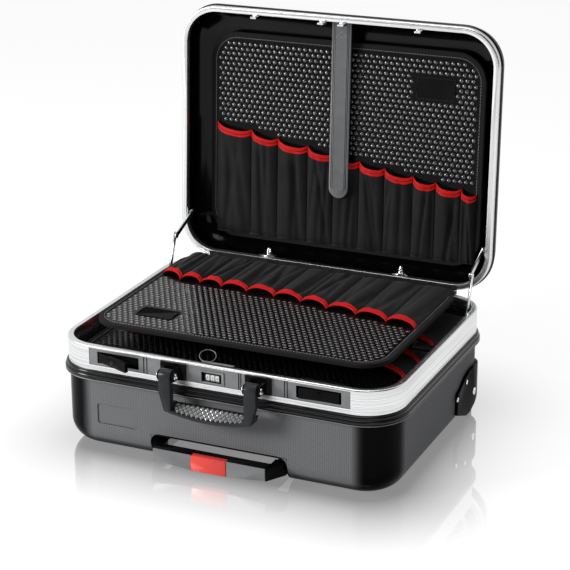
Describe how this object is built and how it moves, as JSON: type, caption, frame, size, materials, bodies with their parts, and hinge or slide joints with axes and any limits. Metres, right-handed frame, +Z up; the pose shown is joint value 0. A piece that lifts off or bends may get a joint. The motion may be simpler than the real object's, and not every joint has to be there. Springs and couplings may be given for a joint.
{
  "type": "hard tool case",
  "caption": "Hard-shell tool case on wheels with hinged lid, aluminium rims, latches, number lock, carry handle, pull-out trolley and tool boards with sewn pockets.",
  "frame": {"origin": "middle of the flat bottom the case lies on, on the ground", "axes": "+X to the right along the front, +Y to the hinge at the rear, +Z up"},
  "size_m": [0.5, 0.4887, 0.5366],
  "materials": {
    "shell": "moulded shell with a fine diamond weave",
    "frame_metal": "brushed along its length",
    "trim": "gloss black",
    "lock_metal": "grey, fine grain",
    "black_plastic": "black, satin",
    "bright_metal": "polished",
    "tube_metal": "satin",
    "stay_metal": "satin",
    "hinge_metal": "satin black",
    "board": "black, moulded with domes",
    "pocket_fabric": "charcoal woven cloth with red binding",
    "strap_leather": "grey, stitched",
    "handle_rubber": "charcoal, satin",
    "grip_rubber": "black, textured",
    "face_grey": "grey, fine speckle",
    "button_red": "red",
    "dial_plastic": "light grey",
    "tyre_rubber": "solid tyre",
    "hub_plastic": "dark grey"
  },
  "bodies": {
    "base": {"base_shell": "shell", "base_frame": "frame_metal", "base_rim_trim": "trim", "lock_panel": "lock_metal", "lock_housing": "lock_metal", "latch_cases": "black_plastic", "handle_bracket_left": "black_plastic", "handle_bracket_right": "black_plastic", "handle_pins": "bright_metal", "base_hinge_leaf": "hinge_metal", "hinge_pin": "bright_metal", "floor_panel": "black_plastic", "lower_tool_board": "board", "lower_tool_pockets": "pocket_fabric", "board_rails": "black_plastic", "board_hinge_rail": "black_plastic", "trolley_cup": "black_plastic", "trolley_outer_tubes": "tube_metal", "wheel_housing_left": "black_plastic", "wheel_housing_right": "black_plastic", "housing_screws": "bright_metal", "wheel_axles": "bright_metal", "stay_base_brackets": "stay_metal", "key_loop": "bright_metal"},
    "lid": {"lid_shell": "shell", "lid_frame": "frame_metal", "lid_rim_trim": "trim", "lid_hinge_leaf": "hinge_metal", "lid_strikes": "bright_metal", "lid_tool_board": "board", "lid_tool_pockets": "pocket_fabric", "turn_lock_plates": "bright_metal", "lid_standing_feet": "black_plastic", "stay_lid_brackets": "stay_metal"},
    "strap": {"retaining_strap": "strap_leather"},
    "turn_lock_left": {"turn_lock_left": "bright_metal"},
    "turn_lock_right": {"turn_lock_right": "bright_metal"},
    "upper_board": {"upper_tool_board": "board", "upper_tool_pockets": "pocket_fabric"},
    "latch_left": {"latch_lever_left": "black_plastic"},
    "latch_right": {"latch_lever_right": "black_plastic"},
    "dial_1": {"dial_1": "dial_plastic"},
    "dial_2": {"dial_2": "dial_plastic"},
    "dial_3": {"dial_3": "dial_plastic"},
    "lock_button": {"lock_button": "black_plastic"},
    "carry_handle": {"carry_handle": "handle_rubber", "handle_grip": "grip_rubber"},
    "trolley_mid": {"trolley_mid_tubes": "tube_metal"},
    "trolley_inner": {"trolley_inner_tubes": "tube_metal", "trolley_grip": "black_plastic", "trolley_face": "face_grey"},
    "release_button": {"release_button": "button_red"},
    "wheel_left": {"wheel_tyre_left": "tyre_rubber", "wheel_hub_left": "hub_plastic"},
    "wheel_right": {"wheel_tyre_right": "tyre_rubber", "wheel_hub_right": "hub_plastic"},
    "stay_lower": {"stay_lower_links": "stay_metal"},
    "stay_upper": {"stay_upper_links": "stay_metal"}
  },
  "joints": [
    {"name": "lid_hinge", "type": "hinge", "parent": "base", "child": "lid", "pos_m": [0, 0.1928, 0.1529], "axis": [1, 0, 0], "range_deg": [0, 93]},
    {"name": "stay_lower_hinge", "type": "hinge", "parent": "base", "child": "stay_lower", "pos_m": [0, 0.131, 0.143], "axis": [1, 0, 0], "range_deg": [0, 108]},
    {"name": "stay_upper_hinge", "type": "hinge", "parent": "lid", "child": "stay_upper", "pos_m": [0, 0.20561, 0.21762], "axis": [1, 0, 0], "range_deg": [-100, 0]},
    {"name": "strap_hinge", "type": "hinge", "parent": "lid", "child": "strap", "pos_m": [-0.001, 0.24053, 0.52571], "axis": [1, 0, 0], "range_deg": [-70, 0]},
    {"name": "turn_lock_left_hinge", "type": "hinge", "parent": "lid", "child": "turn_lock_left", "pos_m": [-0.1055, 0.21035, 0.1648], "axis": [0, 0.0523, 0.9986], "range_deg": [0, 90]},
    {"name": "turn_lock_right_hinge", "type": "hinge", "parent": "lid", "child": "turn_lock_right", "pos_m": [0.1055, 0.21035, 0.1648], "axis": [0, 0.0523, 0.9986], "range_deg": [0, 90]},
    {"name": "upper_board_hinge", "type": "hinge", "parent": "base", "child": "upper_board", "pos_m": [0, 0.171, 0.159], "axis": [1, 0, 0], "range_deg": [-75, 0]},
    {"name": "latch_left_hinge", "type": "hinge", "parent": "base", "child": "latch_left", "pos_m": [-0.1705, -0.1865, 0.137], "axis": [0, 0, -1], "range_deg": [-22, 50]},
    {"name": "latch_right_hinge", "type": "hinge", "parent": "base", "child": "latch_right", "pos_m": [0.1705, -0.1865, 0.137], "axis": [0, 0, 1], "range_deg": [-5, 65]},
    {"name": "dial_1_turn", "type": "hinge", "parent": "base", "child": "dial_1", "pos_m": [-0.0115, -0.1842, 0.1357], "axis": [1, 0, 0], "continuous": true},
    {"name": "dial_2_turn", "type": "hinge", "parent": "base", "child": "dial_2", "pos_m": [-0.0045, -0.1842, 0.1357], "axis": [1, 0, 0], "continuous": true},
    {"name": "dial_3_turn", "type": "hinge", "parent": "base", "child": "dial_3", "pos_m": [0.0025, -0.1842, 0.1357], "axis": [1, 0, 0], "continuous": true},
    {"name": "lock_button_press", "type": "slide", "parent": "base", "child": "lock_button", "axis": [0, 1, 0], "range_m": [0, 0.0015], "stiffness_N_per_m": 300},
    {"name": "carry_handle_hinge", "type": "hinge", "parent": "base", "child": "carry_handle", "pos_m": [0, -0.2095, 0.137], "axis": [-1, 0, 0], "range_deg": [0, 95]},
    {"name": "trolley_mid_slide", "type": "slide", "parent": "base", "child": "trolley_mid", "axis": [0, -1, 0], "range_m": [0, 0.22]},
    {"name": "trolley_inner_slide", "type": "slide", "parent": "trolley_mid", "child": "trolley_inner", "axis": [0, -1, 0], "range_m": [0, 0.225]},
    {"name": "release_button_press", "type": "slide", "parent": "trolley_inner", "child": "release_button", "axis": [0, 1, 0], "range_m": [0, 0.0025], "stiffness_N_per_m": 500},
    {"name": "wheel_left_turn", "type": "hinge", "parent": "base", "child": "wheel_left", "pos_m": [-0.211, 0.176, 0.033], "axis": [1, 0, 0], "continuous": true},
    {"name": "wheel_right_turn", "type": "hinge", "parent": "base", "child": "wheel_right", "pos_m": [0.211, 0.176, 0.033], "axis": [1, 0, 0], "continuous": true}
  ],
  "couplings": [
    {"joint": "stay_lower_hinge", "follows": "lid_hinge", "ratio": 1.155},
    {"joint": "stay_upper_hinge", "follows": "lid_hinge", "ratio": -1.0703}
  ]
}
